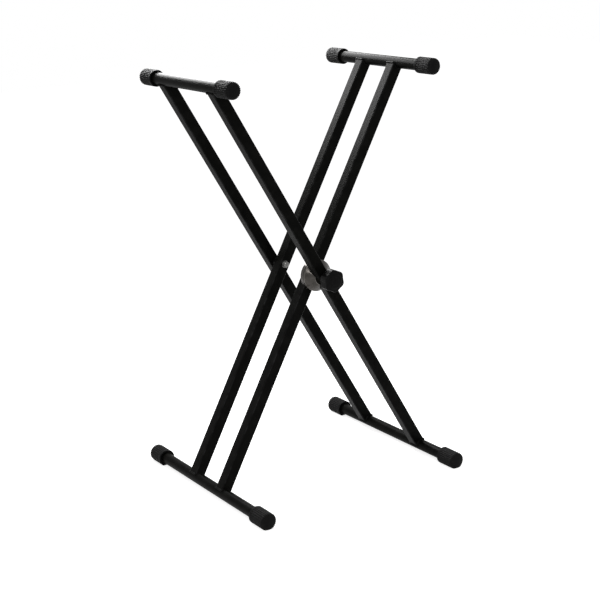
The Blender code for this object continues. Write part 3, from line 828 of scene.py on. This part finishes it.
knobShape = {
    "lobes": 6,
    "phase": math.radians(6.5),
    "hubRadius": 17.5 * mm,
    "cornerRadius": 24.8 * mm,
    "flatRadius": 22.2 * mm,
    "gripStart": 8.5 * mm,
    "gripDepth": 21.5 * mm,
    "noseRadius": 16.5 * mm,
    "round": 3.0 * mm,
    "insertRadius": 7.3 * mm,
    "insertDepth": 12.3 * mm,
    "columns": 192,
}


# A turned line whose grip swells and shrinks by a six-lobed cosine round it
def makeKnob():
    low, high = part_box("knob")
    shape = knobShape
    depth = high[1] - low[1]
    gripEnd = shape["gripStart"] + shape["gripDepth"]
    middle = (shape["cornerRadius"] + shape["flatRadius"]) / 2
    corners = [
        (shape["insertRadius"], shape["insertDepth"], 0.0),
        (shape["insertRadius"], 0.0, 0.5 * mm),
        (shape["hubRadius"], 0.0, 1.2 * mm),
        (shape["hubRadius"], shape["gripStart"], 1.5 * mm),
        (middle, shape["gripStart"], shape["round"]),
        (middle, gripEnd, shape["round"]),
        (shape["noseRadius"] + 1.0 * mm, gripEnd + 0.1 * mm, 1.0 * mm),
        (shape["noseRadius"] - 1.5 * mm, depth - 0.4 * mm, 1.5 * mm),
        (shape["noseRadius"] * 0.5, depth - 0.1 * mm, 2.0 * mm),
        (0.5 * mm, depth, 0.0),
    ]
    line, bends = roundedLine(corners, 8)
    rings = turned(line, shape["columns"])
    angle = np.arange(shape["columns"]) * turn / shape["columns"]
    swing = (shape["cornerRadius"] - shape["flatRadius"]) / 2
    lobes = np.cos(shape["lobes"] * (angle - shape["phase"]))
    inGrip = (line[:, 1] >= shape["gripStart"] - 0.1 * mm) & (line[:, 1] <= gripEnd + 1.6 * mm)
    share = np.clip((line[:, 0] - shape["hubRadius"]) / (middle - shape["hubRadius"]), 0, 1) * inGrip
    swell = share[:, None] * swing * lobes
    flat = np.linalg.norm(rings[..., :2], axis=-1)
    rings[..., :2] *= ((flat + swell) / flat)[..., None]
    wear = np.clip(bends[:, None] * 0.5 + share[:, None] * np.clip(lobes, 0, 1) * 0.6, 0, 1)
    place = (pivot[0], high[1], pivot[2])
    surface = {"rings": placed(rings, place, leaningNear("outer")), "wear": wear}
    addPiece("knob_grip", [surface], knobPlastic, "clamp_knob", ["knob"], 40.0)


makeKnob()


# Fasteners

boltShape = {
    "radius": 4.0 * mm,
    "threadPitch": 1.25 * mm,
    "threadDepth": 0.6 * mm,
    "threadRows": 8,
    "threadEnd": 0.8 * mm,
    "clutchThread": 26.0 * mm,
    "pivotThread": 22.0 * mm,
    "steps": 48,
    "headRadius": 9.5 * mm,
    "headHeight": 4.5 * mm,
    "neck": 8.2 * mm,
    "neckLength": 4.0 * mm,
    "neckCorner": 0.5 * mm,
    "neckSunk": 0.5 * mm,  # into the head, so that the two meet
    "hexFlats": 13.0 * mm,
    "hexHead": 5.3 * mm,
    "nutHeight": 5.5 * mm,
    "nutDome": 4.0 * mm,
    "nutBore": 7.0 * mm,
    "washerRound": 0.3 * mm,
    "washerSteps": 72,
    "wear": 0.3,
}


# A rod whose last stretch is wound by a triangle wave of height less angle
def threadedRod(length, threadLength):
    shape = boltShape
    threadStart = length - threadLength
    rows = int((length - threadStart) / shape["threadPitch"] * shape["threadRows"])
    wound = np.linspace(threadStart, length - shape["threadEnd"], rows)
    height = np.concatenate([[0.0, threadStart - 0.1 * mm], wound, [length]])
    angle = np.arange(shape["steps"]) * turn / shape["steps"]
    lead = (height[:, None] / shape["threadPitch"] - angle / turn) % 1
    wave = np.abs(lead * 2 - 1)
    cut = (height > threadStart)[:, None] * shape["threadDepth"] * wave
    cut[-1] = shape["threadDepth"] + 0.2 * mm
    radius = shape["radius"] - cut
    along = np.broadcast_to(height[:, None], radius.shape)
    return np.stack([radius * np.cos(angle), radius * np.sin(angle), along], -1)


# A hexagon's radius by angle, held inside a cone at each end as a lathe chamfers it
def hexRings(flats, levels, phase=0.0, steps=96):
    angle = np.arange(steps) * turn / steps
    across = flats / 2 / np.cos((angle + math.pi / 6) % (math.pi / 3) - math.pi / 6)
    limit, height = np.array(levels)[:, :, None].transpose(1, 0, 2)
    radius = np.minimum(across, limit)
    along = np.broadcast_to(height, radius.shape)
    return np.stack([radius * np.cos(angle + phase), radius * np.sin(angle + phase), along], -1)


# A flat ring: a rectangle with rounded corners turned round Z
def ringSurface(outer, inner, thickness):
    places = [(outer, 0), (outer, thickness), (inner, thickness), (inner, 0)]
    corners = [(*place, boltShape["washerRound"]) for place in places]
    line, bends = roundedLoop(corners, 3)
    steps = boltShape["washerSteps"]
    return turned(line, steps), bends[:, None] * np.ones(steps)


# The two washers and the far legs' sleeve, each a flat ring from its node's box
def makeWashers():
    # The sleeve takes the knob's black plastic only so that it renders dark where it shows between the far
    # legs
    plated, darkenedSleeveLook = (zincPlate, "zinc_plated_steel"), (knobPlastic, "knob_plastic")
    for node, body, (material, slot) in (
        ("knob_washer", "washer", plated),
        ("pivot_washer", "outer_frame", plated),
        ("pivot_spacer", "outer_frame", darkenedSleeveLook),
    ):
        low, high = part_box(node)
        rings, wear = ringSurface(sizeOf(node)[0] / 2, clutchShape["bore"], high[1] - low[1])
        place = (pivot[0], high[1], pivot[2])
        surface = {"rings": placed(rings, place, nearAxes), "wear": wear, "loop": True}
        addPiece(node + "_turned", [surface], material, body, [node])


# A quarter-ellipse dome with a short skirt, a square prism under it, and the threaded rod
def makeClutchBolt():
    low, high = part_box("clutch_bolt")
    shape = boltShape
    seat = high[1] - shape["headHeight"]
    bow = np.linspace(0.04, math.pi / 2 - 0.25, 9)
    dome = np.stack([shape["headRadius"] * np.sin(bow), shape["headHeight"] * np.cos(bow)], -1)
    edge = shape["headRadius"]
    skirt = np.array([[edge, 0.6 * mm], [edge, 0.1 * mm], [edge - 0.3 * mm, 0.0]])
    head = turned(np.concatenate([dome, skirt]), 72)
    outline, _ = squareOutline(shape["neck"], shape["neckCorner"])
    neck = prism(outline, -shape["neckSunk"], shape["neckLength"])
    length = seat - low[1]
    place = (pivot[0], seat, pivot[2])
    surfaces = [
        {"rings": placed(head, place, farAxes), "wear": np.full((1, 1), shape["wear"])},
        {"rings": placed(neck, place, leaningNear("inner"))},
        {"rings": placed(threadedRod(length, shape["clutchThread"]), place, leaningNear("inner"))},
    ]
    addPiece("clutch_bolt_domed", surfaces, zincPlate, "inner_frame", ["clutch_bolt"])


# A hexagon chamfered at both ends, with a shallow dish in its top, and the threaded rod
def makePivotBolt():
    low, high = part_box("pivot_bolt")
    shape = boltShape
    top = shape["hexHead"]
    seat = high[1] - top
    corner, inscribed = shape["hexFlats"] / math.sqrt(3), shape["hexFlats"] / 2
    levels = [(inscribed - 0.4 * mm, 0.0), (corner, 0.1 * mm), (corner, top - 1.0 * mm)]
    levels += [(inscribed - 0.3 * mm, top - 0.1 * mm), (3.6 * mm, top)]
    levels += [(3.3 * mm, top - 0.3 * mm), (0.3 * mm, top - 0.35 * mm)]
    head = hexRings(shape["hexFlats"], levels)
    length = seat - low[1]
    place = (pivot[0], seat, pivot[2])
    surfaces = [
        {"rings": placed(head, place, leaningFar("outer")), "wear": np.full((1, 1), shape["wear"])},
        {"rings": placed(threadedRod(length, shape["pivotThread"]), place, nearAxes)},
    ]
    addPiece("pivot_bolt_hex", surfaces, zincPlate, "outer_frame", ["pivot_bolt"])


# Hexagon below, a quarter ellipse turned to a dome above, and a blind bore
def makePivotNut():
    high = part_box("pivot_nut")[1]
    shape = boltShape
    corner = shape["hexFlats"] / math.sqrt(3)
    inscribed = shape["hexFlats"] / 2
    bore, height = tubeShape["boltHole"], shape["nutHeight"]
    domeRadius = inscribed - 0.3 * mm
    levels = [(bore, shape["nutBore"]), (bore, 0.0), (domeRadius, 0.0), (corner, 0.7 * mm)]
    levels += [(corner, height - 0.9 * mm), (inscribed + 0.1 * mm, height)]
    bow = np.linspace(0.0, math.pi / 2 - 0.05, 12)
    levels += [(domeRadius * math.cos(b), height + shape["nutDome"] * math.sin(b)) for b in bow]
    rings = hexRings(shape["hexFlats"], levels, math.pi / 6)
    place = (pivot[0], high[1], pivot[2])
    surface = {"rings": placed(rings, place, leaningNear("outer")), "wear": np.full((1, 1), shape["wear"])}
    addPiece("pivot_nut_domed", [surface], zincPlate, "outer_frame", ["pivot_nut"])


makeWashers()
makeClutchBolt()
makePivotBolt()
makePivotNut()
for node, finish in (("clutch_spring", springSteel), ("knob_insert", insertBrass)):
    frame["nodes"][node].data.materials.clear()
    frame["nodes"][node].data.materials.append(finish)
print("knob and fasteners made")


# Floor and light

studio = {
    "floorSize": 14.0,
    "floorColour": (0.60, 0.60, 0.60),
    "floorGlow": 0.76,
    "worldLevel": 0.55,
    "softboxes": (
        # name, centre, aim, width, height, radiance
        ("rearSoftbox", (0.15, 0.85, 1.28), (0.15, 0.0, 0.90), 0.98, 0.45, 25.0),
        ("frontSoftbox", (-2.4, -3.4, 3.4), (0.0, 0.0, 0.45), 2.6, 2.6, 1.6),
        ("topSoftbox", (-0.3, -0.3, 2.3), (0.0, 0.0, 0.45), 0.8, 0.8, 1.5),
        ("streakSoftbox", (-1.68, -1.58, 1.46), (0.0, -0.08, 0.46), 0.17, 0.17, 80.0),
    ),
}


# One flat square, grey under the lamps and with a white glow for the rays that seenDirectly tells
def makeFloor(size, colour, glowLevel):
    mesh = bpy.data.meshes.new("floor")
    half = size / 2
    corners = [(-half, -half, 0), (half, -half, 0), (half, half, 0), (-half, half, 0)]
    mesh.from_pydata(corners, [], [(0, 1, 2, 3)])
    floor = bpy.data.objects.new("floor", mesh)
    scene.collection.objects.link(floor)
    material, tree, shader = newMaterial("paleFloor")
    tree.nodes.remove(shader)
    diffuse = addNode(tree, "ShaderNodeBsdfDiffuse", inputs={"Color": (*colour, 1.0)})
    glow = addNode(tree, "ShaderNodeEmission", inputs={"Color": (1, 1, 1, 1), "Strength": glowLevel})
    both = addNode(tree, "ShaderNodeAddShader")
    tree.links.new(diffuse.outputs[0], both.inputs[0])
    tree.links.new(glow.outputs[0], both.inputs[1])
    mix = addNode(tree, "ShaderNodeMixShader")
    tree.links.new(seenDirectly(tree), mix.inputs["Fac"])
    tree.links.new(diffuse.outputs[0], mix.inputs[1])
    tree.links.new(both.outputs[0], mix.inputs[2])
    output = next(node for node in tree.nodes if node.type == "OUTPUT_MATERIAL")
    tree.links.new(mix.outputs[0], output.inputs["Surface"])
    mesh.materials.append(material)


# 1 for rays from the camera and for those that metal or glass sends on
def seenDirectly(tree):
    path = addNode(tree, "ShaderNodeLightPath")
    mirrored = addMath(tree, "MAXIMUM", path.outputs["Is Glossy Ray"], path.outputs["Is Transmission Ray"])
    return addMath(tree, "MAXIMUM", path.outputs["Is Camera Ray"], mirrored)


# White for the rays that seenDirectly tells, and a weaker fill for all others
def makeWorld(level):
    world = bpy.data.worlds.new("studioWorld")
    scene.world = world
    world.use_nodes = True
    tree = world.node_tree
    tree.nodes.clear()
    white = addNode(tree, "ShaderNodeBackground", inputs={"Color": (1, 1, 1, 1), "Strength": 1.0})
    fill = addNode(tree, "ShaderNodeBackground", inputs={"Color": (1, 1, 1, 1), "Strength": level})
    mix = addNode(tree, "ShaderNodeMixShader")
    output = addNode(tree, "ShaderNodeOutputWorld")
    tree.links.new(seenDirectly(tree), mix.inputs["Fac"])
    tree.links.new(fill.outputs[0], mix.inputs[1])
    tree.links.new(white.outputs[0], mix.inputs[2])
    tree.links.new(mix.outputs[0], output.inputs["Surface"])


# An area lamp: its power is its radiance times pi times its area
def makeSoftbox(name, centre, aim, width, height, radiance):
    lamp = bpy.data.lights.new(name, "AREA")
    lamp.shape = "RECTANGLE"
    lamp.size = width
    lamp.size_y = height
    lamp.energy = radiance * math.pi * width * height
    box = bpy.data.objects.new(name, lamp)
    back = np.array(centre, float) - np.array(aim, float)
    back /= np.linalg.norm(back)
    side = np.cross([0.0, 0.0, 1.0], back)
    side /= np.linalg.norm(side)
    columns = np.stack([side, np.cross(back, side), back, np.array(centre, float)], axis=1)
    box.matrix_world = Matrix([*columns.tolist(), [0.0, 0.0, 0.0, 1.0]])
    box.visible_camera = False
    scene.collection.objects.link(box)


makeFloor(studio["floorSize"], studio["floorColour"], studio["floorGlow"])
makeWorld(studio["worldLevel"])
for softbox in studio["softboxes"]:
    makeSoftbox(*softbox)
print("studio lit")
